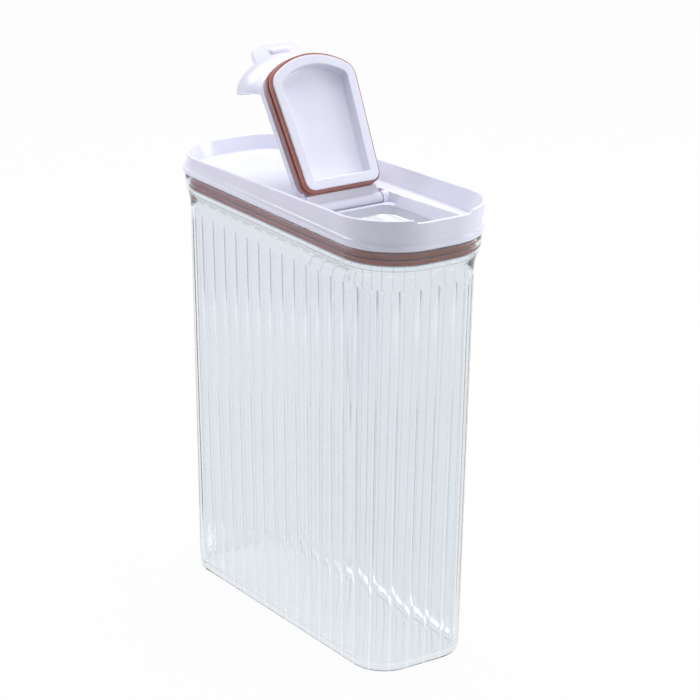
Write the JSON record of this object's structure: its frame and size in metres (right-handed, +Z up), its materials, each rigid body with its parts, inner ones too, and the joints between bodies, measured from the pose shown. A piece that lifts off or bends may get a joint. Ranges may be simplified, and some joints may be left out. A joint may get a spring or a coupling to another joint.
{
  "type": "cereal dispenser",
  "caption": "Tall clear fluted container with a white lift-off lid sealed by a silicone ring, and a hinged pouring cap that flips open over the lid's mouth.",
  "frame": {"origin": "middle of the container's flat base", "axes": "+Z up the container, +X towards the pouring end, +Y along the hinge pin"},
  "size_m": [0.1958, 0.0782, 0.2908],
  "materials": {
    "clear_plastic": "clear moulded plastic, polished",
    "white_plastic": "white moulded plastic, half gloss",
    "rose_silicone": "rose-brown silicone, satin",
    "pin_steel": "plain steel rod"
  },
  "bodies": {
    "container": {"container": "clear_plastic"},
    "lid": {"lid_cover": "white_plastic", "lid_underplate": "white_plastic", "lid_gasket": "rose_silicone", "hinge_pin": "pin_steel"},
    "cap": {"cap_shell": "white_plastic", "cap_liner": "white_plastic", "cap_gasket": "rose_silicone"}
  },
  "joints": [
    {"name": "lid_lift", "type": "slide", "parent": "container", "child": "lid", "axis": [0, 0, 1], "range_m": [0, 0.06]},
    {"name": "cap_hinge", "type": "hinge", "parent": "lid", "child": "cap", "pos_m": [0.0134, 0, 0.22175], "axis": [0, 1, 0], "range_deg": [0, 120]}
  ]
}
